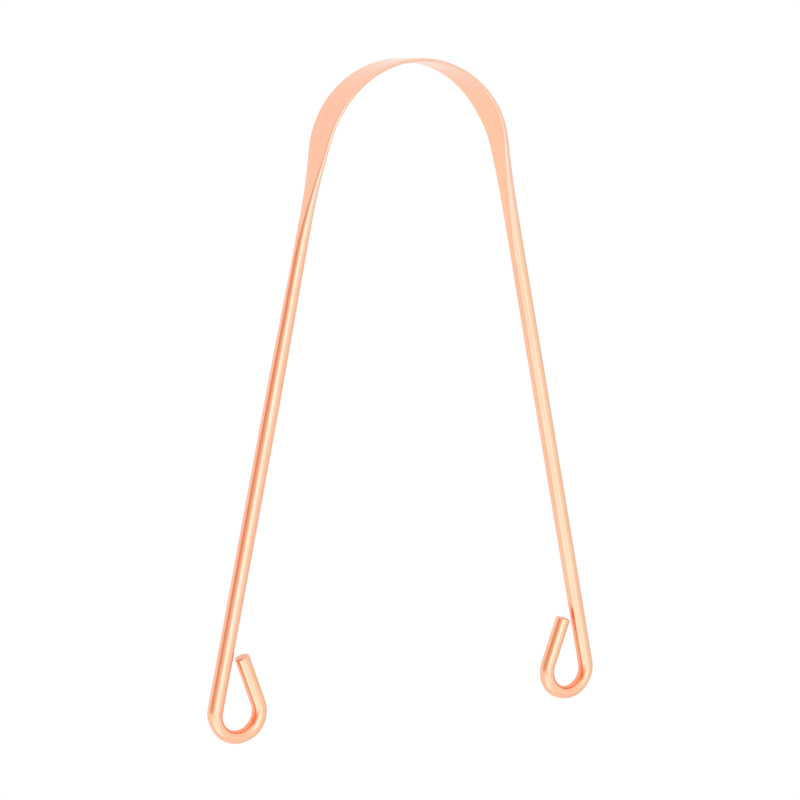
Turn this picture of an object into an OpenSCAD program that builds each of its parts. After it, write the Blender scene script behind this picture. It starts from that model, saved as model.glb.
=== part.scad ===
// Tongue scraper bent from one length of round copper wire, its middle pressed flat.
// It lies on its side: the arch curves in the XY plane with its top towards +Y, and +Z is up.
// Each stretch of the wire is a solid of its own and meets the next one face to face.

/* [Wire] */
// Diameter of the round wire
wire_d = 2.95; // [2.6:0.05:3.6]

/* [Scraping band] */
// Width of the pressed band, from one scraping edge to the other
band_w = 8.55; // [7:0.05:11]
// Thickness of the pressed band
band_t = 0.7; // [0.65:0.05:1]
// Rounding along the band's four long edges
edge_r = 0.3; // [0.1:0.05:0.3]
// Length of the band at its full width, measured along its curve
band_length = 33; // [20:1:40]

/* [Arch] */
// Radius of the arch, to the middle of the band's thickness
arch_r = 20.1; // [17:0.1:24]
// Lean of each arm away from the middle line
lean_angle = 11.85; // [8:0.05:18]

/* [Necks] */
// Distance past the band over which its width draws in
draw_in_length = 13.5; // [8:0.5:20]
// Distance past the band over which the left side stays as thin as the band
left_flat_length = 8.2; // [0:0.1:12]
// The same on the right side, where the press reached less far
right_flat_length = 0.4; // [0:0.1:8]
// Distance over which the left side then thickens into round wire
left_taper_length = 24.1; // [20:0.1:32]
// The same on the right side
right_taper_length = 34.3; // [26:0.1:42]
// Length at the start of each taper over which it sets in gently
taper_onset = 9.5; // [2:0.1:12]
// Length at the end of each taper over which it runs out
taper_finish = 6; // [2:0.1:8]
// Diameter where the left taper ends, drawn thin by the press
left_neck_d = 2.5; // [2.2:0.05:2.9]
// Diameter where the right taper ends
right_neck_d = 2.85; // [2.2:0.05:2.9]
// Distance past the left taper in which the wire regains its full diameter
left_recovery_length = 26.8; // [5:0.1:35]
// The same on the right side
right_recovery_length = 18.5; // [5:0.1:35]

/* [Arms] */
// Straight length of each arm, from the end of the arch to the start of the eye
arm_length = 105.6; // [90:0.1:125]

/* [Eyes] */
// Bending radius of each eye, to the middle of the wire
eye_r = 4.65; // [4:0.05:7]
// How far the wire turns round each eye
eye_angle = 212.5; // [200:0.5:225]
// Thickness to which the bending pin squeezes the wire, in the plane of the bend
eye_t = 2.5; // [2.3:0.05:2.6]
// Width of the wire there, across the plane of the bend
eye_w = 3.05; // [2.9:0.05:3.5]
// Distance along the wire over which the squeeze comes and goes
squeeze_length = 3.5; // [2:0.1:4.5]
// Length at the far end of the bend that the pin hardly touched
free_length = 4.5; // [2:0.1:6]
// Thickness of the tail, in the plane of the bend
tail_t = 2.8; // [2.5:0.05:3]
// Gap left between the cut end and the arm
tail_gap = 0.7; // [0.2:0.05:1.5]

/* [Hidden] */

arch_copper = [0.93, 0.68, 0.56];
flex_copper = [0.90, 0.62, 0.50];
taper_copper = [0.92, 0.66, 0.53];
wire_copper = [0.88, 0.58, 0.45];
eye_copper = [0.86, 0.52, 0.38];
end_copper = [0.80, 0.46, 0.33];

// Points round each quarter of a swept section, and rings along the swept stretches
quarter_points = 6;
shoulder_steps = 8;
neck_steps = 20;
eye_steps = 34;
$fn = 96;

// Angles, and distances along the wire's middle line from the top of the arch
right_angle = 90;
straight_angle = 2 * right_angle;
arch_angle = right_angle - lean_angle;
arch_end = arch_r * arch_angle * PI / straight_angle;
band_end = band_length / 2;
eye_start = arch_end + arm_length;
eye_end = eye_start + eye_r * eye_angle * PI / straight_angle;

// Most of the squeeze comes off the outside of the bend, which moves the section's middle inwards
outer_share = 0.75;
function squeeze_shift(t) = (wire_d - t) / 2 * (2 * outer_share - 1);

// The eye's bend brings the wire back towards the arm, and the tail runs on until the gap is left
slant_angle = eye_angle - straight_angle;
tail_inside = eye_r - tail_t / 2 - squeeze_shift(tail_t);
tail_length = (eye_r - wire_d / 2 + tail_inside * cos(slant_angle) - tail_gap) / sin(slant_angle);

// The arch's middle, and how far the lowest point of the eyes lies below the top of the arch
arch_centre = [0, -arch_r];
eye_centre = arm_point(eye_start) + eye_r * inward(arch_angle);
eye_bottom = eye_centre.y - eye_r - eye_t / 2 + squeeze_shift(eye_t);
top_y = (-eye_bottom - band_t / 2) / 2;

// Direction of the right half at a given turn, and the direction towards the inside of the arch
function heading(turn) = [cos(turn), -sin(turn)];
function inward(turn) = [-sin(turn), -cos(turn)];

// Turn of the wire at distance s, from +X at the top of the arch round towards -Y and into the eye
function turned(s) = min(s / arch_end, 1) * arch_angle
                     + clamped((s - eye_start) / (eye_end - eye_start)) * eye_angle;

// Point of the right half's middle line at distance s, with the top of the arch at the origin
function arm_point(s) = arch_centre - arch_r * inward(min(s / arch_end, 1) * arch_angle)
                        + max(s - arch_end, 0) * heading(arch_angle);
function on_wire(s) = s <= eye_start ? arm_point(s)
    : eye_centre - eye_r * inward(turned(s)) + max(s - eye_end, 0) * heading(turned(s));

function mix(a, b, share) = a + (b - a) * share;
function clamped(share) = min(max(share, 0), 1);
function eased(share) = share * share * (3 - 2 * share);

function flat_length(side) = side == "left" ? left_flat_length : right_flat_length;
function taper_length(side) = side == "left" ? left_taper_length : right_taper_length;
function neck_d(side) = side == "left" ? left_neck_d : right_neck_d;
function recovery_length(side) = side == "left" ? left_recovery_length : right_recovery_length;
function taper_end(side) = band_end + flat_length(side) + taper_length(side);

// How far the section at distance s has gone from the band to the neck, in thickness and in area
function roundness(side, s) =
    let (from_start = min(max(s - band_end - flat_length(side), 0), taper_length(side)),
         to_end = taper_length(side) - from_start,
         slope_length = taper_length(side) - taper_onset / 2 - taper_finish / 2,
         gained = from_start < taper_onset ? pow(from_start, 2) / taper_onset / 2
                : to_end > taper_finish ? from_start - taper_onset / 2
                : slope_length - pow(to_end, 2) / taper_finish / 2)
    gained / slope_length;
function drawn(s) = eased(clamped((s - band_end) / draw_in_length));

// Area of a bar with round edges, and the width that gives a bar of that thickness this area
corner_share = 1 - PI / 4;
function bar_area(w, t) = w * t - corner_share * t * t;
function bar_width(area, t) = area / t + corner_share * t;

// The press moves the metal sideways, so a section's width follows from its thickness and area,
// up to the width of the band
function section_t(side, s) = mix(band_t, neck_d(side), roundness(side, s));
function section_w(side, s) =
    let (area = mix(bar_area(band_w, band_t), bar_area(neck_d(side), neck_d(side)), drawn(s)))
    min(bar_width(area, section_t(side, s)), band_w);
function section_r(side, s) =
    section_t(side, s) / 2 * mix(2 * edge_r / band_t, 1, roundness(side, s));

// How far the wire has been squeezed at distance s along the eye, and how far it has come free again
function squeezed(s) = eased(clamped((s - eye_start) / squeeze_length));
function freed(s) = eased(clamped((s - eye_end + free_length + squeeze_length) / squeeze_length));
function eye_size(s) = mix(mix([wire_d, wire_d], [eye_t, eye_w], squeezed(s)), [tail_t, wire_d], freed(s));

// Outline of the section at distance s: x towards the inside of the bend, y along the width
function outline_angles() = [for (quarter = [0:3], i = [0:quarter_points - 1])
                                right_angle * (quarter + (i + 0.5) / quarter_points)];
function pressed_section(side, s) =
    let (t = section_t(side, s), w = section_w(side, s), r = section_r(side, s))
    [for (angle = outline_angles())
        [sign(cos(angle)) * (t / 2 - r) + r * cos(angle),
         sign(sin(angle)) * (w / 2 - r) + r * sin(angle)]];
function eye_section(s) =
    let (size = eye_size(s))
    [for (angle = outline_angles())
        [squeeze_shift(size.x) + size.x / 2 * cos(angle), size.y / 2 * sin(angle)]];
function section(side, s) = s < eye_start ? pressed_section(side, s) : eye_section(s);

// Places the wire so that the object's box is centred on the origin and rests on the floor
module lay_down() {
    translate([0, top_y, band_w / 2]) children();
}

// Draws a shape of the right half on the side that is asked for
module on_side(side) {
    lay_down() mirror([side == "left" ? 1 : 0, 0, 0]) children();
}

// Moves to distance s on the wire, with +X along the wire
module at_wire(s) {
    translate(on_wire(s)) rotate([0, 0, -turned(s)]) children();
}

// A stretch of wire whose section changes on the way
module swept(side, from, to, steps) {
    count = 4 * quarter_points;
    points = [for (i = [0:steps])
                 let (s = mix(from, to, i / steps))
                 for (p = section(side, s))
                     let (q = on_wire(s) + p.x * inward(turned(s)))
                     [q.x, q.y, p.y]];
    sides = [for (i = [0:steps - 1], j = [0:count - 1])
                let (a = i * count + j, b = i * count + (j + 1) % count)
                each [[a, b, b + count], [a, b + count, a + count]]];
    first = [for (j = [0:count - 1]) count - 1 - j];
    last = [for (j = [0:count - 1]) steps * count + j];
    polyhedron(points = points, faces = concat([first, last], sides));
}

module band_section() {
    square([band_t - 2 * edge_r, band_w], center = true);
    square([band_t, band_w - 2 * edge_r], center = true);
    for (x = [-1, 1], y = [-1, 1])
        translate([x * (band_t / 2 - edge_r), y * (band_w / 2 - edge_r)]) circle(edge_r);
}

module scraping_band() {
    reach = turned(band_end);
    color(arch_copper) lay_down()
        translate(arch_centre) rotate([0, 0, right_angle - reach])
            rotate_extrude(angle = 2 * reach) translate([arch_r, 0]) band_section();
}

module shoulder(side) {
    color(flex_copper) on_side(side) swept(side, band_end, arch_end, shoulder_steps);
}

module neck(side) {
    color(taper_copper) on_side(side) swept(side, arch_end, taper_end(side), neck_steps);
}

module leg(side) {
    length = eye_start - taper_end(side);
    outline = [[0, 0], [neck_d(side) / 2, 0], [wire_d / 2, recovery_length(side)],
               [wire_d / 2, length], [0, length]];
    color(wire_copper) on_side(side)
        at_wire(taper_end(side)) rotate([0, right_angle, 0]) rotate_extrude() polygon(outline);
}

module eye(side) {
    color(eye_copper) on_side(side) swept(side, eye_start, eye_end, eye_steps);
}

module tail(side) {
    color(end_copper) on_side(side) swept(side, eye_end, eye_end + tail_length, 1);
}

scraping_band();
shoulder("left");  // left_shoulder
shoulder("right");  // right_shoulder
neck("left");  // left_neck
neck("right");  // right_neck
leg("left");  // left_leg
leg("right");  // right_leg
eye("left");  // left_eye
eye("right");  // right_eye
tail("left");  // left_tail
tail("right");  // right_tail
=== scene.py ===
# tongue scraper bent from one copper wire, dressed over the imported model
import bpy
import bmesh
import math
from mathutils import Matrix, Vector
from mathutils.noise import noise as noiseValue


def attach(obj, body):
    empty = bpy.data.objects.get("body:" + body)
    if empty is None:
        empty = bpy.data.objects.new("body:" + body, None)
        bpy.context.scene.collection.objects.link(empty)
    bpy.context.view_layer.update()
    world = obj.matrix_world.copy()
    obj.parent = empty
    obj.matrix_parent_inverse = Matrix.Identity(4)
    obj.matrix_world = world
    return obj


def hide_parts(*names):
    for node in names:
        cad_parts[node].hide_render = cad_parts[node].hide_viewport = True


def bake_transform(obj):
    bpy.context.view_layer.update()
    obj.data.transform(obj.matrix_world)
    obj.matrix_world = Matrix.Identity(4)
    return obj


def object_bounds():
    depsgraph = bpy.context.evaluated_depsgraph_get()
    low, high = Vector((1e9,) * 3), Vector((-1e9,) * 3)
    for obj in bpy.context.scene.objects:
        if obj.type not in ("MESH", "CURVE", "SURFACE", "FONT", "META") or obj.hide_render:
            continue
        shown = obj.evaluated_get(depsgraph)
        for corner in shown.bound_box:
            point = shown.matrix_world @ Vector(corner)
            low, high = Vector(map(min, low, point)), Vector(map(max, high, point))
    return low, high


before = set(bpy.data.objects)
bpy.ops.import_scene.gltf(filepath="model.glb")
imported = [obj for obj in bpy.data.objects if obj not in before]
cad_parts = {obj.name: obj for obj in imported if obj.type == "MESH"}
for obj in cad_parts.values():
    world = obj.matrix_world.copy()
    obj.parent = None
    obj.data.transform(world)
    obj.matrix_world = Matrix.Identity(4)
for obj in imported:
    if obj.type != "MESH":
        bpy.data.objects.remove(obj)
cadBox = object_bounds()
mm = 0.001
up = Vector((0, 0, 1))
bothSides = ("left", "right")
print("model loaded,", len(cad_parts), "solids")

# sizes in millimetres and degrees, as the solids have them
band = {
    "width": 8.55,
    "thickness": 0.7,
    "corner": 0.3,          # rounding of the four long edges
    "length": 33,
    "archRadius": 20.1,     # to the middle of the metal
    "spinSteps": 150,
}
shoulders = {
    "ringStep": 0.25,
    "flexInset": 0.25,      # the bend starts this far inside each end
}
# the two necks, which the press left unlike each other
necks = {
    "left": {"flat": 8.2, "taper": 24.1, "thinnest": 2.5, "recovery": 26.8, "dieMark": 40.2},
    "right": {"flat": 0.4, "taper": 34.3, "thinnest": 2.85, "recovery": 18.5, "dieMark": 36.4},
}
neckShape = {
    "drawIn": 13.5,         # past the band, the stretch over which its section thins to the wire's
    "taperOnset": 9.5,      # the taper sets in and runs out gently
    "taperFinish": 6,
    "dieMarkDepth": 0.07,   # a shallow nick that the press leaves across the wire
    "dieMarkLength": 0.45,
    "ringStep": 0.3,
}
legs = {
    "diameter": 2.95,
    "lean": 11.85,
    "length": 105.6,        # from the arch to the eye, neck and leg together
    "ringStep": 0.8,
}
eyes = {
    "radius": 4.65,         # to the middle of the wire
    "turn": 212.5,
    "thickness": 2.5,       # squeezed by the bending pin
    "width": 3.05,
    "squeezeLength": 3.5,
    "freeLength": 8,        # the wire begins to come free this far before the bend ends
    "ringStep": 0.3,
}
tails = {
    "thickness": 2.8,
    "gap": 0.7,             # from the cut end to the arm
    "ringStep": 0.5,
    "crownHeight": 0.42,    # the cut end is softly crowned, not dead flat
    "crownRise": 0.06,      # how far the crown stands past the solid's end
    "crownPower": 3,        # a higher one makes the rim tighter and the middle flatter
    "crownRings": 9,
    "crownCentre": 0.7,     # of a ring's step, left in the middle for the last face
    "rimRings": 3,          # the rim's own rings stay smooth
    "shearRoughness": 0.02,
    "shearGrain": 2.2,      # bumps in a millimetre
    "cutReach": 3,          # no point further from the end belongs to the cut
}
archTurn = math.radians(90 - legs["lean"])
archEnd = band["archRadius"] * archTurn
bandEnd = band["length"] / 2
eyeStart = archEnd + legs["length"]
eyeEnd = eyeStart + eyes["radius"] * math.radians(eyes["turn"])
ringPoints = 64
endRing = 0.03              # one ring this close to each joint holds the surface square to it
smoothAngle = math.radians(38)
leastReach = 0.0005         # a ring is round where its sides would move out by less
nearZero = 1e-7             # in metres


def mix(a, b, share):
    return a + (b - a) * share


def clamped(share):
    return min(max(share, 0), 1)


def eased(share):
    share = clamped(share)
    return share * share * (3 - 2 * share)


def squeezeShift(thickness):
    # three quarters of the squeeze come off the outside of the bend
    return (legs["diameter"] - thickness) / 4


tailSlant = math.radians(eyes["turn"] - 180)
tailInside = eyes["radius"] - tails["thickness"] / 2 - squeezeShift(tails["thickness"])
tailLength = (eyes["radius"] - legs["diameter"] / 2 + tailInside * math.cos(tailSlant)
              - tails["gap"]) / math.sin(tailSlant)
tailEnd = eyeEnd + tailLength
crownStart = tailEnd - tails["crownHeight"] + tails["crownRise"]
# where on the arm the cut end stands opposite
tailFoot = eyeStart - eyes["radius"] * math.sin(tailSlant) - tailLength * math.cos(tailSlant)


def heading(turn):
    return Vector((math.cos(turn), -math.sin(turn), 0))


def inward(turn):
    return Vector((-math.sin(turn), -math.cos(turn), 0))


def turned(s):
    # how far the wire has turned at s millimetres from the top of the arch
    archShare = clamped(s / archEnd)
    eyeShare = clamped((s - eyeStart) / (eyeEnd - eyeStart))
    return archShare * archTurn + eyeShare * math.radians(eyes["turn"])


# the arch's top is the solids' own, and everything else follows from it
topPoint = Vector((0, cadBox[1][1] / mm - band["thickness"] / 2, band["width"] / 2))
archCentre = topPoint - Vector((0, band["archRadius"], 0))
eyeCentre = (archCentre - band["archRadius"] * inward(archTurn) + legs["length"] * heading(archTurn)
             + eyes["radius"] * inward(archTurn))


def wirePoint(side, s):
    # place, direction towards the inside of the bend, and direction along the wire, in millimetres
    if s <= eyeStart:
        fromCentre = archCentre - band["archRadius"] * inward(turned(s))
        place = fromCentre + max(s - archEnd, 0) * heading(archTurn)
    else:
        fromCentre = eyeCentre - eyes["radius"] * inward(turned(s))
        place = fromCentre + max(s - eyeEnd, 0) * heading(turned(s))
    flip = Vector((-1, 1, 1)) if side == "left" else Vector((1, 1, 1))
    return place * flip, inward(turned(s)) * flip, heading(turned(s)) * flip


cornerLoss = 1 - math.pi / 4    # what full rounding takes off a unit square


def barArea(width, thickness):
    return width * thickness - cornerLoss * thickness ** 2


def taperEnd(side):
    return bandEnd + necks[side]["flat"] + necks[side]["taper"]


def tapered(fromStart, length):
    # how much of a taper is done, from 0 to 1, with a curve at each end
    toEnd = length - fromStart
    slope = length - neckShape["taperOnset"] / 2 - neckShape["taperFinish"] / 2
    if fromStart < neckShape["taperOnset"]:
        return fromStart ** 2 / neckShape["taperOnset"] / 2 / slope
    if toEnd > neckShape["taperFinish"]:
        return (fromStart - neckShape["taperOnset"] / 2) / slope
    return 1 - toEnd ** 2 / neckShape["taperFinish"] / 2 / slope


def pressedSize(side, s):
    # thickness, width and corner radius anywhere between the top of the arch and the eye
    neck = necks[side]
    thin, width, corner = band["thickness"], band["width"], band["corner"]
    if s >= taperEnd(side):
        size = mix(neck["thinnest"], legs["diameter"], clamped((s - taperEnd(side)) / neck["recovery"]))
        return size, size, size / 2
    roundness = tapered(max(s - bandEnd - neck["flat"], 0), neck["taper"])
    thickness = mix(thin, neck["thinnest"], roundness)
    roundArea = barArea(neck["thinnest"], neck["thinnest"])
    area = mix(barArea(width, thin), roundArea, eased((s - bandEnd) / neckShape["drawIn"]))
    wide = min(area / thickness + cornerLoss * thickness, width)
    return thickness, wide, thickness / 2 * mix(2 * corner / thin, 1, roundness)


def eyeSize(s):
    # thickness and width from the start of an eye to the cut end
    squeezed = eased((s - eyeStart) / eyes["squeezeLength"])
    freed = eased((s - eyeEnd + eyes["freeLength"]) / eyes["squeezeLength"])
    thickness = mix(mix(legs["diameter"], eyes["thickness"], squeezed), tails["thickness"], freed)
    wide = mix(mix(legs["diameter"], eyes["width"], squeezed), legs["diameter"], freed)
    return thickness, wide


# camera at the photograph's angle, in millimetres and degrees
view = {
    "place": (-267.10, 64.981, 448.158),
    "yaw": -30.838,
    "pitch": 7.274,
    "roll": 0.339,
    "lens": 124.0,
    "sensor": 36,
    "nearest": 0.01,        # in metres, as Blender clips
    "furthest": 20,
}


def addCamera():
    yaw, pitch, roll = (math.radians(view[k]) for k in ("yaw", "pitch", "roll"))
    forward = Vector((-math.sin(yaw) * math.cos(pitch), -math.sin(pitch), -math.cos(yaw) * math.cos(pitch)))
    right = Vector((math.cos(yaw), 0, -math.sin(yaw)))
    above = right.cross(forward)
    tilted = right * math.cos(roll) + above * math.sin(roll)
    above = above * math.cos(roll) - right * math.sin(roll)
    data = bpy.data.cameras.new("photoCamera")
    data.lens = view["lens"]
    data.sensor_width = view["sensor"]
    data.clip_start = view["nearest"]
    data.clip_end = view["furthest"]
    camera = bpy.data.objects.new("photoCamera", data)
    bpy.context.scene.collection.objects.link(camera)
    turn = Matrix((tilted, above, -forward)).transposed()
    camera.matrix_world = Matrix.Translation(Vector(view["place"]) * mm) @ turn.to_4x4()
    bpy.context.scene.camera = camera


addCamera()
print("camera placed")


def startPiece(name):
    bpy.ops.object.select_all(action="DESELECT")
    mesh = bpy.data.meshes.new(name)
    piece = bpy.data.objects.new(name, mesh)
    bpy.context.scene.collection.objects.link(piece)
    bpy.context.view_layer.objects.active = piece
    piece.select_set(True)
    bpy.ops.object.mode_set(mode="EDIT")
    return piece


firstRing = slice(0, ringPoints)
lastRing = slice(-ringPoints, None)


def selectRing(ring, test=lambda place: True):
    # only the points of one ring that pass the test
    mesh = bmesh.from_edit_mesh(bpy.context.object.data)
    mesh.verts.ensure_lookup_table()
    for vert in mesh.verts:
        vert.select = False
    for vert in mesh.verts[ring]:
        vert.select = test(vert.co)
    mesh.select_flush_mode()
    bmesh.update_edit_mesh(bpy.context.object.data)


def ringTurn(toInside):
    # a flat circle stood up, its own x towards the inside of the bend
    spin = math.atan2(toInside.y, toInside.x)
    return (Matrix.Rotation(spin, 3, "Z") @ Matrix.Rotation(math.pi / 2, 3, "X")).to_euler()


def addCircle(radius, place, toInside):
    bpy.ops.mesh.primitive_circle_add(vertices=ringPoints, radius=radius * mm, location=place,
                                      rotation=ringTurn(toInside))


def addPressedRing(side, s):
    # a small circle whose quarters are moved out to the bar's corners
    thickness, wide, corner = pressedSize(side, s)
    fromMark = (s - necks[side]["dieMark"]) / neckShape["dieMarkLength"]
    nick = neckShape["dieMarkDepth"] * math.exp(-fromMark ** 2)
    thickness, wide, corner = thickness - nick, wide - nick, corner - nick / 2
    place, toInside = wirePoint(side, s)[:2]
    place = place * mm
    addCircle(corner, place, toInside)
    for axis, reach in ((toInside, thickness / 2 - corner), (up, wide / 2 - corner)):
        if reach > leastReach:
            for sign in (1, -1):
                selectRing(lastRing, lambda co: (co - place).dot(axis) * sign > nearZero)
                bpy.ops.transform.translate(value=axis * sign * reach * mm)


def addOvalRing(side, s, shrink=0.0, lift=0.0):
    # a circle of the ring's width, squeezed to its thickness
    thickness, wide = eyeSize(s)
    place, toInside, along = wirePoint(side, s)
    place = (place + toInside * squeezeShift(thickness) + along * lift) * mm
    addCircle(wide / 2 - shrink, place, toInside)
    ratio = (thickness / 2 - shrink) / (wide / 2 - shrink)
    bpy.ops.transform.resize(value=(ratio, 1, 1), orient_type="LOCAL", orient_matrix_type="LOCAL",
                             orient_matrix=(toInside, up.cross(toInside), up), center_override=place)


def stations(start, end, step):
    # even rings, and one more close to each end
    count = max(int(round((end - start) / step)), 2)
    inner = [mix(start, end, i / count) for i in range(count + 1)]
    return [start, start + endRing] + inner[1:-1] + [end - endRing, end]


def addRings(name, side, start, end, step, addRing=addPressedRing):
    piece = startPiece(name)
    for s in stations(start, end, step):
        addRing(side, s)
    return piece


def capEnds():
    for ring in (firstRing, lastRing):
        selectRing(ring)
        bpy.ops.mesh.edge_face_add()


def joinRings():
    bpy.ops.mesh.select_all(action="SELECT")
    bpy.ops.mesh.bridge_edge_loops()
    capEnds()


def placeInEye(offset):
    radius = math.hypot(offset.x, offset.y)
    turn = (math.atan2(offset.x, offset.y) - archTurn) % (2 * math.pi)
    # a point just before the eye's start comes out in the last sixth of the circle
    lastSixth = math.radians(300)
    turn = turn - 2 * math.pi if turn > lastSixth else turn
    return eyes["radius"] - radius, eyeStart + turn * eyes["radius"]


def placeOnWire(piece, side, stretch):
    # where each point lies on the wire: inwards, across, and along, in millimetres
    data = piece.data
    layer = data.attributes.new("wirePlace", "FLOAT_VECTOR", "POINT")
    for vert, value in zip(data.vertices, layer.data):
        point = vert.co / mm
        if side == "left":
            point.x = -point.x
        if stretch == "arch":
            offset = point - archCentre
            inside = band["archRadius"] - math.hypot(offset.x, offset.y)
            along = math.atan2(offset.x, offset.y) * band["archRadius"]
        elif stretch == "arm":
            offset = point - wirePoint("right", archEnd)[0]
            inside = offset.dot(inward(archTurn))
            along = archEnd + offset.dot(heading(archTurn))
        elif stretch == "eye":
            inside, along = placeInEye(point - eyeCentre)
        else:
            offset = point - wirePoint("right", eyeEnd)[0]
            inside = offset.dot(inward(turned(eyeEnd)))
            along = eyeEnd + offset.dot(heading(turned(eyeEnd)))
        value.vector = (inside, point.z - band["width"] / 2, -along if side == "left" else along)


def markRims(piece):
    # how far each point faces up or down, full on the rounded long edges and nothing on the flats; it masks
    # the painted rim highlight
    data = piece.data
    layer = data.attributes.new("rimShare", "FLOAT", "POINT")
    for vert, value in zip(data.vertices, layer.data):
        value.value = abs(vert.normal.z)


def markCutEnd(piece, side):
    # how far each point of a tail faces along the wire, full on the cut
    data = piece.data
    layer = data.attributes.new("cutShare", "FLOAT", "POINT")
    endPoint, _, along = wirePoint(side, tailEnd)
    for vert, value in zip(data.vertices, layer.data):
        near = (vert.co / mm - endPoint).length < tails["cutReach"]
        value.value = clamped(vert.normal.dot(along)) if near else 0


dressed = []


def finishPiece(piece, side, stretch, node, body, slotName, bendTo=None):
    bpy.ops.mesh.select_all(action="SELECT")
    bpy.ops.mesh.remove_doubles(threshold=nearZero)
    bpy.ops.mesh.normals_make_consistent(inside=False)
    bpy.ops.object.mode_set(mode="OBJECT")
    bpy.ops.object.shade_smooth_by_angle(angle=smoothAngle)
    weighted = piece.modifiers.new("weighted", "WEIGHTED_NORMAL")
    weighted.keep_sharp = True
    bpy.ops.object.modifier_apply(modifier=weighted.name)
    placeOnWire(piece, side, stretch)
    markRims(piece)
    if stretch == "tail":
        markCutEnd(piece, side)
    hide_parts(node)
    if bendTo:
        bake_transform(piece)
    else:
        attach(piece, body)
    dressed.append((piece, slotName))
    print(piece.name, len(piece.data.polygons), "faces")


# the band, one section spun round the arch
piece = startPiece("polishedBand")
addPressedRing("left", bandEnd)
bpy.ops.mesh.select_all(action="SELECT")
bpy.ops.mesh.spin(steps=band["spinSteps"], angle=2 * bandEnd / band["archRadius"],
                  center=archCentre * mm, axis=(0, 0, 1))
capEnds()
finishPiece(piece, "right", "arch", "scraping_band", "arch", "pressed_copper")

# the shoulders, where the arch flexes
for side in bothSides:
    piece = addRings(side + "SpringShoulder", side, bandEnd, archEnd, shoulders["ringStep"])
    joinRings()
    finishPiece(piece, side, "arch", side + "_shoulder", "arch", "pressed_copper", bendTo=side + "_arm")

# the necks, from flat to round
for side in bothSides:
    piece = addRings(side + "TaperedNeck", side, archEnd, taperEnd(side), neckShape["ringStep"])
    joinRings()
    finishPiece(piece, side, "arm", side + "_neck", side + "_arm", "pressed_copper")

# the legs, straight round wire
for side in bothSides:
    piece = addRings(side + "WireLeg", side, taperEnd(side), eyeStart, legs["ringStep"])
    joinRings()
    finishPiece(piece, side, "arm", side + "_leg", side + "_arm", "drawn_copper")

# the eyes, bent back on themselves
for side in bothSides:
    piece = addRings(side + "BentEye", side, eyeStart, eyeEnd, eyes["ringStep"], addOvalRing)
    joinRings()
    finishPiece(piece, side, "eye", side + "_eye", side + "_arm", "bent_copper")


# the tails and their cut ends
def addCrown(side):
    # rings that close in over the cut, steep at the rim and nearly flat in the middle
    for i in range(1, tails["crownRings"] + 1):
        reach = math.cos(math.pi / 2 * i / (tails["crownRings"] + tails["crownCentre"]))
        addOvalRing(side, crownStart, shrink=tails["thickness"] / 2 * (1 - reach),
                    lift=tails["crownHeight"] * math.sqrt(1 - reach ** tails["crownPower"]))


def roughenCut(side):
    # the shear leaves the face a little uneven
    along = wirePoint(side, tailEnd)[2]
    mesh = bmesh.from_edit_mesh(bpy.context.object.data)
    mesh.verts.ensure_lookup_table()
    for vert in mesh.verts[-ringPoints * (tails["crownRings"] - tails["rimRings"]):]:
        vert.co += along * noiseValue(vert.co / mm * tails["shearGrain"]) * tails["shearRoughness"] * mm
    bmesh.update_edit_mesh(bpy.context.object.data)


for side in bothSides:
    piece = addRings(side + "CutTail", side, eyeEnd, crownStart, tails["ringStep"], addOvalRing)
    addCrown(side)
    roughenCut(side)
    joinRings()
    finishPiece(piece, side, "tail", side + "_tail", side + "_arm", "bent_copper")
print("copper pieces modelled")


# shader helpers
def addNode(tree, kind, inputs=None, **settings):
    node = tree.nodes.new(kind)
    for name, value in settings.items():
        setattr(node, name, value)
    for name, value in (inputs or {}).items():
        socket = node.inputs[name]
        if isinstance(value, bpy.types.NodeSocket):
            tree.links.new(value, socket)
        else:
            socket.default_value = value
    return node


def maths(tree, operation, first, second=None, third=None, clamp=False):
    values = {i: v for i, v in enumerate((first, second, third)) if v is not None}
    return addNode(tree, "ShaderNodeMath", values, operation=operation, use_clamp=clamp).outputs[0]


def vectorMaths(tree, operation, first, second):
    return addNode(tree, "ShaderNodeVectorMath", {0: first, 1: second}, operation=operation).outputs[0]


def scaled(tree, vector, scale):
    return addNode(tree, "ShaderNodeVectorMath", {0: vector, "Scale": scale}, operation="SCALE").outputs[0]


def stretched(tree, place, across, along):
    # wire place with its own fineness across and along, in patterns per millimetre
    return vectorMaths(tree, "MULTIPLY", place, (across, across, along))


def remap(tree, value, low, high):
    # 0 at low and 1 at high, with a soft start and finish
    reach = {"Value": value, "From Min": low, "From Max": high}
    return addNode(tree, "ShaderNodeMapRange", reach, interpolation_type="SMOOTHSTEP").outputs[0]


def blendColours(tree, factor, first, second):
    # 6, 7 and 2 are the Mix node's colour sockets
    return addNode(tree, "ShaderNodeMix", {0: factor, 6: first, 7: second}, data_type="RGBA").outputs[2]


def attribute(tree, name, output):
    return addNode(tree, "ShaderNodeAttribute", attribute_name=name).outputs[output]


patternShift = (1, 1.7, 0.6)    # an offset moves a pattern by unlike amounts in x, y and z


def noise(tree, vector, detail, roughness, offset=0.0):
    moved = vectorMaths(tree, "ADD", vector, tuple(offset * share for share in patternShift))
    pattern = {"Vector": moved, "Scale": 1.0, "Detail": detail, "Roughness": roughness}
    return addNode(tree, "ShaderNodeTexNoise", pattern).outputs["Fac"]


def newGroup(name, inputs, outputs):
    # inputs with their usual values, and outputs that are plain numbers
    group = bpy.data.node_groups.new(name, "ShaderNodeTree")
    for socket, value in inputs.items():
        kind = "NodeSocketVector" if isinstance(value, tuple) else "NodeSocketFloat"
        group.interface.new_socket(socket, in_out="INPUT", socket_type=kind).default_value = value
    for socket in outputs:
        group.interface.new_socket(socket, in_out="OUTPUT", socket_type="NodeSocketFloat")
    return group, group.nodes.new("NodeGroupInput").outputs, group.nodes.new("NodeGroupOutput").inputs


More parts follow.
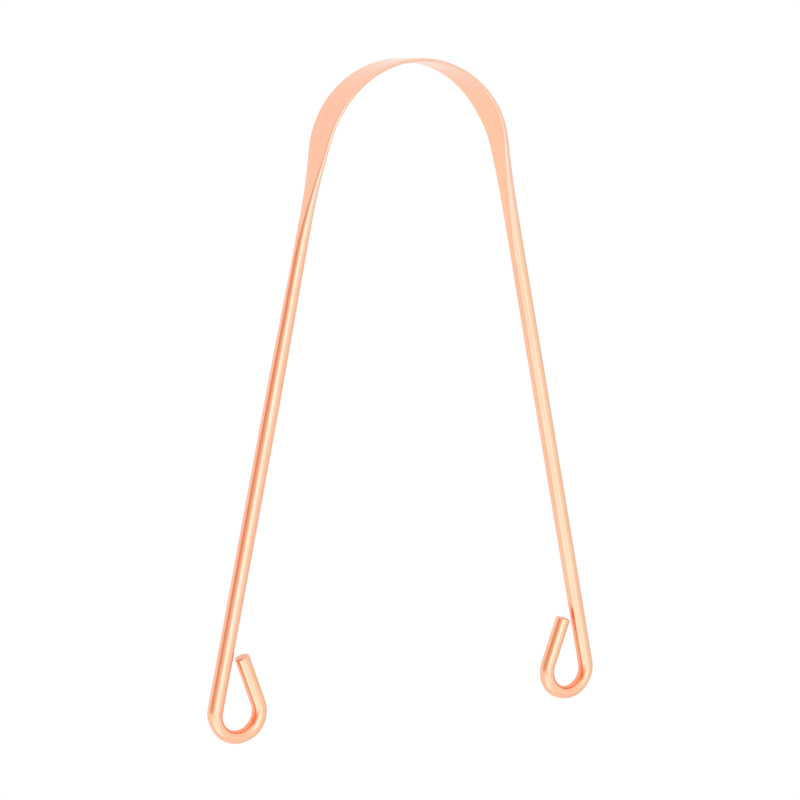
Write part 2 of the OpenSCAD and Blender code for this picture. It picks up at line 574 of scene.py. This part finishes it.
def useGroup(tree, group, **inputs):
    return addNode(tree, "ShaderNodeGroup", inputs, node_tree=group)


drawnLinesLook = {
    "fineness": 9.0,        # lines in a millimetre, across the wire
    "length": 9.0,          # of a line along the wire, in millimetres
    "broad": 0.22,          # fineness of the broad bands against the lines
    "broadShare": 0.6,
    "fineShare": 0.4,
    "toneEdges": (0.3, 0.7),
}


def buildDrawnLines():
    # fine lines that the drawing die leaves along the wire
    look = drawnLinesLook
    sockets = {"Place": (0, 0, 0), "Fineness": look["fineness"], "Length": look["length"]}
    group, given, result = newGroup("drawnLines", sockets, ("Height", "Tone"))
    shorter = maths(group, "DIVIDE", 1.0, given["Length"])
    fineness = {"X": given["Fineness"], "Y": given["Fineness"], "Z": shorter}
    scale = addNode(group, "ShaderNodeCombineXYZ", fineness).outputs[0]
    fine = vectorMaths(group, "MULTIPLY", given["Place"], scale)
    lines = noise(group, fine, detail=3.0, roughness=0.6)
    bands = noise(group, scaled(group, fine, look["broad"]), detail=1.0, roughness=0.5, offset=7.0)
    fineHeight = maths(group, "MULTIPLY", lines, look["fineShare"])
    height = maths(group, "MULTIPLY_ADD", bands, look["broadShare"], fineHeight)
    group.links.new(height, result["Height"])
    group.links.new(remap(group, bands, *look["toneEdges"]), result["Tone"])
    return group


scratchesLook = {
    "slant": 0.6,           # of the scratches to the wire, in radians
    "amount": 0.3,
    "ways": ((1.0, 3.0), (-0.7, 11.0)),     # share of the slant, and offset of the pattern
    "fineness": (16.0, 0.45),               # across and along a scratch
    "lineEdges": (0.70, 0.78),
    "patches": (0.5, 0.3),                  # where on the wire there are any
    "patchEdges": (0.45, 0.6),
    "patchOffset": 5,
}


def buildScratches():
    # a few thin scratches from wiping and handling, slanted to the wire
    look = scratchesLook
    sockets = {"Place": (0, 0, 0), "Slant": look["slant"], "Amount": look["amount"]}
    group, given, result = newGroup("handlingScratches", sockets, ("Mask",))
    masks = []
    for share, offset in look["ways"]:
        turn = {"Vector": given["Place"], "Angle": maths(group, "MULTIPLY", given["Slant"], share)}
        slanted = addNode(group, "ShaderNodeVectorRotate", turn, rotation_type="X_AXIS").outputs[0]
        thin = stretched(group, slanted, *look["fineness"])
        lines = noise(group, thin, detail=0.0, roughness=0.5, offset=offset)
        wide = stretched(group, given["Place"], *look["patches"])
        there = noise(group, wide, detail=1.0, roughness=0.5, offset=offset + look["patchOffset"])
        lineMask = remap(group, lines, *look["lineEdges"])
        masks.append(maths(group, "MULTIPLY", lineMask, remap(group, there, *look["patchEdges"])))
    both = maths(group, "MAXIMUM", *masks)
    group.links.new(maths(group, "MULTIPLY", both, given["Amount"], clamp=True), result["Mask"])
    return group


warmFilmLook = {
    "size": 6.0,            # of the film's patches, in millimetres
    "shape": (1.6, 0.55),   # finer across the wire than along it
    "edges": (0.32, 0.72),
}


def buildWarmFilm():
    # the thin warm film that air and fingers leave on bare copper
    look = warmFilmLook
    group, given, result = newGroup("warmFilm", {"Place": (0, 0, 0), "Size": look["size"]}, ("Mask",))
    smaller = scaled(group, given["Place"], maths(group, "DIVIDE", 1.0, given["Size"]))
    shaped = stretched(group, smaller, *look["shape"])
    patches = noise(group, shaped, detail=4.0, roughness=0.62, offset=21.0)
    group.links.new(remap(group, patches, *look["edges"]), result["Mask"])
    return group


specksLook = {
    "spacing": 1.1,         # in millimetres, as the radius is
    "radius": 0.05,
    "leastSize": 0.35,      # of the radius, added to a random share of it
    "edges": (-0.006, 0.012),
    "clean": 0.72,          # this share of the places has none
}


def buildSpecks():
    # tiny dark specks and pits, thinly spread
    look = specksLook
    sockets = {"Place": (0, 0, 0), "Spacing": look["spacing"], "Radius": look["radius"]}
    group, given, result = newGroup("darkSpecks", sockets, ("Mask",))
    cellPlace = scaled(group, given["Place"], maths(group, "DIVIDE", 1.0, given["Spacing"]))
    cells = addNode(group, "ShaderNodeTexVoronoi", {"Vector": cellPlace, "Scale": 1.0}, feature="F1").outputs
    chance = addNode(group, "ShaderNodeSeparateColor", {"Color": cells["Color"]}).outputs
    size = maths(group, "MULTIPLY", given["Radius"], maths(group, "ADD", chance["Green"], look["leastSize"]))
    inside = maths(group, "SUBTRACT", size, maths(group, "MULTIPLY", cells["Distance"], given["Spacing"]))
    chosen = maths(group, "GREATER_THAN", chance["Red"], look["clean"])
    speck = maths(group, "MULTIPLY", remap(group, inside, *look["edges"]), chosen)
    group.links.new(speck, result["Mask"])
    return group


orangePeelLook = {
    "grain": 0.35,          # in millimetres
    "broad": 0.12,          # fineness of the slow waves against the grain
    "broadShare": 0.7,
    "fineShare": 0.3,
}


def buildOrangePeel():
    # the soft unevenness of metal that was pressed or bent
    look = orangePeelLook
    group, given, result = newGroup("orangePeel", {"Place": (0, 0, 0), "Grain": look["grain"]}, ("Height",))
    grained = scaled(group, given["Place"], maths(group, "DIVIDE", 1.0, given["Grain"]))
    fine = noise(group, grained, detail=2.0, roughness=0.5, offset=31.0)
    broad = noise(group, scaled(group, grained, look["broad"]), detail=1.0, roughness=0.5, offset=43.0)
    fineHeight = maths(group, "MULTIPLY", fine, look["fineShare"])
    group.links.new(maths(group, "MULTIPLY_ADD", broad, look["broadShare"], fineHeight), result["Height"])
    return group


drawnLines = buildDrawnLines()
handlingScratches = buildScratches()
warmFilm = buildWarmFilm()
darkSpecks = buildSpecks()
orangePeel = buildOrangePeel()

# what all three finishes share
copperLook = {
    "filmColour": (0.90, 0.39, 0.24, 1),
    "streakColour": (0.84, 0.40, 0.27, 1),
    "speckColour": (0.36, 0.13, 0.07, 1),
    "streakShare": 0.16,        # of the lines that also shows in the colour
    "sideFade": (-4.0, 22.0),   # along the arch, from the left colours to the right ones, which differ a little as painted light
    "filmRoughness": 0.07,
    "filmMiddle": 0.03,         # comes off first, so that on average the roughness stays the finish's own
    "lineRoughness": 0.06,
    "scratchRoughness": 0.2,
    "speckRoughness": 0.3,
    "scratchHeight": -0.5,
    "speckHeight": -0.6,
    "bumpDistance": 0.0003,     # in metres
}
# painted shade inside each eye: a darker, redder colour standing in for the shade and dim reflections there,
# in millimetres
paintedEyeShadeLook = {
    "colour": (0.96, 0.30, 0.145, 1),
    "reach": (1.05, 1.42),      # from the middle of the wire towards the inside of the eye
    "share": 0.6,
    "bendStart": (-2.0, 1.5),   # about the start of the bend
    "bendFinish": (-3.0, 0.5),  # and about its end
    "bendReach": 0.2,           # the painted shade is wider and deeper in the bend than on the straights beside it
    "bendShare": 0.4,
    "tailShare": -0.25,         # and lighter on the tail than on the arm
    "armReach": (3.2, 1.6),     # how far up the arm past the cut end it thins out
}
finishes = {
    "pressedCopper": {
        "slot": "pressed_copper",
        "leftColour": (0.94, 0.482, 0.326, 1),
        "rightColour": (0.93, 0.50, 0.325, 1),
        # painted light: the crown and rim colours stand in for the reflections and highlights on the arch's
        # top and long edges
        "crownColour": (0.97, 0.60, 0.46, 1),
        "crownFade": (2.0, 15.0),       # from the top of the arch to the colours of the sides
        "crownRimColour": (0.80, 0.46, 0.355, 1),
        "leftRimColour": (0.87, 0.53, 0.395, 1),
        "rightRimColour": (0.87, 0.49, 0.365, 1),
        "rimSideFade": (15.0, 23.0),    # the same for the rounded long edges
        "rimStart": 0.78,               # a rim begins where the metal faces up or down this much
        "rimSideWidening": -0.33,       # on the sides of the arch, sooner by this
        "rimFade": 0.3,
        "legFade": (38.0, 48.5),        # along each neck, where the wire's own polish takes over
        "film": 0.2,
        "lines": 0.12,
        "peel": 0.4,
        "scratches": 0.3,
        "specks": 0.5,
        "roughness": 0.27,
        "bump": 0.03,
        "edgeTint": (0.90, 0.90, 0.91, 1),
    },
    "drawnCopper": {
        "slot": "drawn_copper",
        "leftColour": (0.93, 0.474, 0.325, 1),
        "rightColour": (0.90, 0.485, 0.325, 1),
        "film": 0.25,
        "lines": 0.4,
        "peel": 0.2,
        "scratches": 0.4,
        "specks": 0.4,
        "roughness": 0.2,
        "bump": 0.045,
        "edgeTint": (0.87, 0.87, 0.88, 1),
    },
    "bentCopper": {
        "slot": "bent_copper",
        "leftColour": (0.93, 0.482, 0.315, 1),
        "rightColour": (0.92, 0.482, 0.315, 1),
        "cutColour": (0.86, 0.43, 0.30, 1),
        "cutEdges": (0.4, 0.85),
        "cutRoughness": 0.1,
        "film": 0.35,
        "lines": 0.3,
        "peel": 0.5,
        "scratches": 0.4,
        "specks": 0.5,
        "roughness": 0.21,
        "bump": 0.045,
        "edgeTint": (0.87, 0.87, 0.88, 1),
    },
}


def paintedCrownAndRimLight(tree, look, wire, plain):
    # painted light: the arch's crown comes out paler, and the rounded long edges, by how far they face up or
    # down, take paler or darker colours standing in for their highlights
    plain = blendColours(tree, remap(tree, wire["fromTop"], *look["crownFade"]), look["crownColour"], plain)
    sideShare = remap(tree, wire["fromTop"], *look["rimSideFade"])
    rimPlain = blendColours(tree, wire["rightShare"], look["leftRimColour"], look["rightRimColour"])
    rimPlain = blendColours(tree, sideShare, look["crownRimColour"], rimPlain)
    rimStart = maths(tree, "MULTIPLY_ADD", sideShare, look["rimSideWidening"], look["rimStart"])
    rims = attribute(tree, "rimShare", "Fac")
    rimMask = remap(tree, rims, rimStart, maths(tree, "ADD", rimStart, look["rimFade"]))
    return blendColours(tree, rimMask, plain, rimPlain)


def legColour(tree, wire):
    leg = finishes["drawnCopper"]
    onRight = maths(tree, "GREATER_THAN", wire["along"], 0.0)
    return blendColours(tree, onRight, leg["leftColour"], leg["rightColour"])


def paintedEyeShade(tree, wire):
    # painted shade: between the tail and the arm, and inside the bend, the colour turns darker and redder
    # where shade and dim reflections fall
    look = paintedEyeShadeLook
    intoBend = remap(tree, wire["fromTop"], *(eyeStart + reach for reach in look["bendStart"]))
    tailShare = remap(tree, wire["fromTop"], *(eyeEnd + reach for reach in look["bendFinish"]))
    bendShare = maths(tree, "SUBTRACT", intoBend, tailShare)
    inwards = maths(tree, "MULTIPLY_ADD", bendShare, look["bendReach"], wire["inwards"])
    inside = remap(tree, inwards, *look["reach"])
    facingTail = remap(tree, wire["fromTop"], *(tailFoot - reach for reach in look["armReach"]))
    depth = maths(tree, "MULTIPLY_ADD", bendShare, look["bendShare"], look["share"])
    depth = maths(tree, "MULTIPLY_ADD", tailShare, look["tailShare"], depth)
    return maths(tree, "MULTIPLY", maths(tree, "MULTIPLY", inside, facingTail), depth)


def makeCopper(name):
    look = finishes[name]
    pressed, cutEnds = name == "pressedCopper", name == "bentCopper"
    material = bpy.data.materials.new(name)
    material.use_nodes = True
    tree = material.node_tree
    shader = tree.nodes["Principled BSDF"]
    place = attribute(tree, "wirePlace", "Vector")
    film = useGroup(tree, warmFilm, Place=place).outputs["Mask"]
    lines = useGroup(tree, drawnLines, Place=place).outputs
    scratches = useGroup(tree, handlingScratches, Place=place, Amount=look["scratches"]).outputs["Mask"]
    specks = useGroup(tree, darkSpecks, Place=place).outputs["Mask"]
    peel = useGroup(tree, orangePeel, Place=place).outputs["Height"]

    placeParts = addNode(tree, "ShaderNodeSeparateXYZ", {"Vector": place}).outputs
    wire = {"inwards": placeParts["X"], "along": placeParts["Z"]}
    wire["fromTop"] = maths(tree, "ABSOLUTE", wire["along"])
    wire["rightShare"] = remap(tree, wire["along"], *copperLook["sideFade"])
    # the copper's own colour, with the two sides tuned a little apart as painted light, each to the
    # reflections it shows
    plain = blendColours(tree, wire["rightShare"], look["leftColour"], look["rightColour"])
    if pressed:
        # towards the leg a neck takes on the drawn wire's colour
        legShare = remap(tree, wire["fromTop"], *look["legFade"])
        # painted light on the crown and rims, faded out into the leg's colour
        plain = blendColours(tree, legShare, paintedCrownAndRimLight(tree, look, wire, plain), legColour(tree, wire))
    else:
        # painted shade inside each eye, between the tail and the arm
        plain = blendColours(tree, paintedEyeShade(tree, wire), plain, paintedEyeShadeLook["colour"])
    if cutEnds:
        # the sheared face has had no polish
        cut = attribute(tree, "cutShare", "Fac")
        plain = blendColours(tree, remap(tree, cut, *look["cutEdges"]), plain, look["cutColour"])
    colour = blendColours(tree, maths(tree, "MULTIPLY", film, look["film"]), plain, copperLook["filmColour"])
    streaks = maths(tree, "MULTIPLY", lines["Tone"], look["lines"] * copperLook["streakShare"])
    colour = blendColours(tree, streaks, colour, copperLook["streakColour"])
    speckShare = maths(tree, "MULTIPLY", specks, look["specks"])
    colour = blendColours(tree, speckShare, colour, copperLook["speckColour"])
    tree.links.new(colour, shader.inputs["Base Color"])

    clean = look["roughness"] - copperLook["filmMiddle"]
    rough = maths(tree, "MULTIPLY_ADD", film, copperLook["filmRoughness"], clean)
    rough = maths(tree, "MULTIPLY_ADD", lines["Height"], copperLook["lineRoughness"] * look["lines"], rough)
    rough = maths(tree, "MULTIPLY_ADD", scratches, copperLook["scratchRoughness"], rough)
    rough = maths(tree, "MULTIPLY_ADD", specks, copperLook["speckRoughness"], rough)
    if cutEnds:
        rough = maths(tree, "MULTIPLY_ADD", cut, look["cutRoughness"], rough)
    if pressed:
        smoother = finishes["drawnCopper"]["roughness"] - look["roughness"]
        rough = maths(tree, "MULTIPLY_ADD", legShare, smoother, rough)
    tree.links.new(rough, shader.inputs["Roughness"])

    height = maths(tree, "MULTIPLY", lines["Height"], look["lines"])
    height = maths(tree, "MULTIPLY_ADD", peel, look["peel"], height)
    height = maths(tree, "MULTIPLY_ADD", scratches, copperLook["scratchHeight"], height)
    height = maths(tree, "MULTIPLY_ADD", specks, copperLook["speckHeight"], height)
    relief = {"Height": height, "Strength": look["bump"], "Distance": copperLook["bumpDistance"]}
    bump = addNode(tree, "ShaderNodeBump", relief)
    tree.links.new(bump.outputs["Normal"], shader.inputs["Normal"])
    shader.inputs["Metallic"].default_value = 1
    shader.inputs["Specular Tint"].default_value = look["edgeTint"]
    return material


for name, look in finishes.items():
    material = makeCopper(name)
    for piece, slotName in dressed:
        if slotName == look["slot"]:
            piece.data.materials.append(material)
print("copper materials made")

# floor
floorLook = {
    "size": 6,              # in metres
    "paper": 1.03,          # a trace over plain white
}
bpy.ops.object.select_all(action="DESELECT")
bpy.ops.mesh.primitive_plane_add(size=floorLook["size"], location=(0, 0, 0))
floor = bpy.context.object
floor.name = "paleFloor"
floorMaterial = bpy.data.materials.new("paleFloor")
floorMaterial.use_nodes = True
floorTree = floorMaterial.node_tree
# blank paper to the eye, while the copper mirrors the studio all round as a tool cut out on white does
paper = addNode(floorTree, "ShaderNodeEmission", {"Strength": floorLook["paper"]}).outputs[0]
clear = addNode(floorTree, "ShaderNodeBsdfTransparent").outputs[0]
seen = addNode(floorTree, "ShaderNodeLightPath").outputs["Is Camera Ray"]
shown = addNode(floorTree, "ShaderNodeMixShader", {0: seen, 1: clear, 2: paper}).outputs[0]
floorTree.links.new(shown, floorTree.nodes["Material Output"].inputs["Surface"])
floor.data.materials.append(floorMaterial)

studio = {
    "sky": (1.10, 1.165, 1.165, 1),
    "leastFacing": 0.02,    # a panel ends where it would be seen edge on
    # aim, direction across, half width, half length, softness, light
    "panels": [
        ((1, -0.15, 0.10), (0, 1, 0), 2.0, 0.30, 0.3, (0.89, 1.04, 0.96, 1)),
        ((-0.57, -0.67, 0.54), (0, 1, 0), 0.41, 0.47, 0.18, (1.13, 1.76, 1.90, 1)),
        ((0.66, 0.06, 0.75), (0, 1, 0), 0.16, 0.50, 0.12, (1.07, 1.33, 1.33, 1)),
        ((-0.87, 0.34, 0.38), (0, 1, 0), 0.44, 0.37, 0.20, (0.97, 0.76, 0.63, 1)),
        ((-0.92, 0.34, -0.05), (0, 1, 0), 0.46, 0.29, 0.12, (0.78, 0.46, 0.30, 1)),
        ((-0.24, 0.60, 1), (1, 0, 0), 0.32, 0.32, 0.12, (1.30, 1.45, 1.50, 1)),
        ((-0.24, 0.08, 1), (1, 0, 0), 0.33, 0.23, 0.11, (2.13, 2.13, 2.35, 1)),
        ((0.02, -0.22, 0.95), (0.84, -0.55, 0), 0.29, 0.25, 0.14, (1.70, 1.76, 1.86, 1)),
    ],
}


def buildSoftPanel():
    # mask of one soft light panel, aimed at and square to a direction
    sockets = {"Direction": (0, 0, 1), "Aim": (0, 0, 1), "Across": (1, 0, 0), "Along": (0, 1, 0),
               "Half width": 0.2, "Half length": 0.2, "Softness": 0.1}
    group, given, result = newGroup("softPanel", sockets, ("Mask",))

    def dot(name):
        pair = {0: given["Direction"], 1: given[name]}
        return addNode(group, "ShaderNodeVectorMath", pair, operation="DOT_PRODUCT").outputs["Value"]

    depth = maths(group, "MAXIMUM", dot("Aim"), studio["leastFacing"])
    mask = maths(group, "GREATER_THAN", dot("Aim"), studio["leastFacing"])
    for direction, reach in (("Across", "Half width"), ("Along", "Half length")):
        offset = maths(group, "ABSOLUTE", maths(group, "DIVIDE", dot(direction), depth))
        inside = maths(group, "SUBTRACT", given[reach], offset)
        low = maths(group, "MULTIPLY", given["Softness"], -1.0)
        mask = maths(group, "MULTIPLY", mask, remap(group, inside, low, given["Softness"]))
    group.links.new(mask, result["Mask"])
    return group


softPanel = buildSoftPanel()


def lightStudio():
    world = bpy.data.worlds.new("softStudio")
    bpy.context.scene.world = world
    world.use_nodes = True
    tree = world.node_tree
    direction = addNode(tree, "ShaderNodeTexCoord").outputs["Generated"]
    light = studio["sky"]
    for aim, across, halfWidth, halfLength, softness, value in studio["panels"]:
        aim = Vector(aim).normalized()
        across = (Vector(across) - aim * aim.dot(Vector(across))).normalized()
        halves = {"Half width": halfWidth, "Half length": halfLength}
        panel = useGroup(tree, softPanel, Direction=direction, Aim=aim, Across=across,
                         Along=aim.cross(across), Softness=softness, **halves)
        light = blendColours(tree, panel.outputs["Mask"], light, value)
    tree.links.new(light, tree.nodes["Background"].inputs["Color"])


lightStudio()
bpy.context.scene.view_settings.view_transform = "Standard"
print("floor and light set")
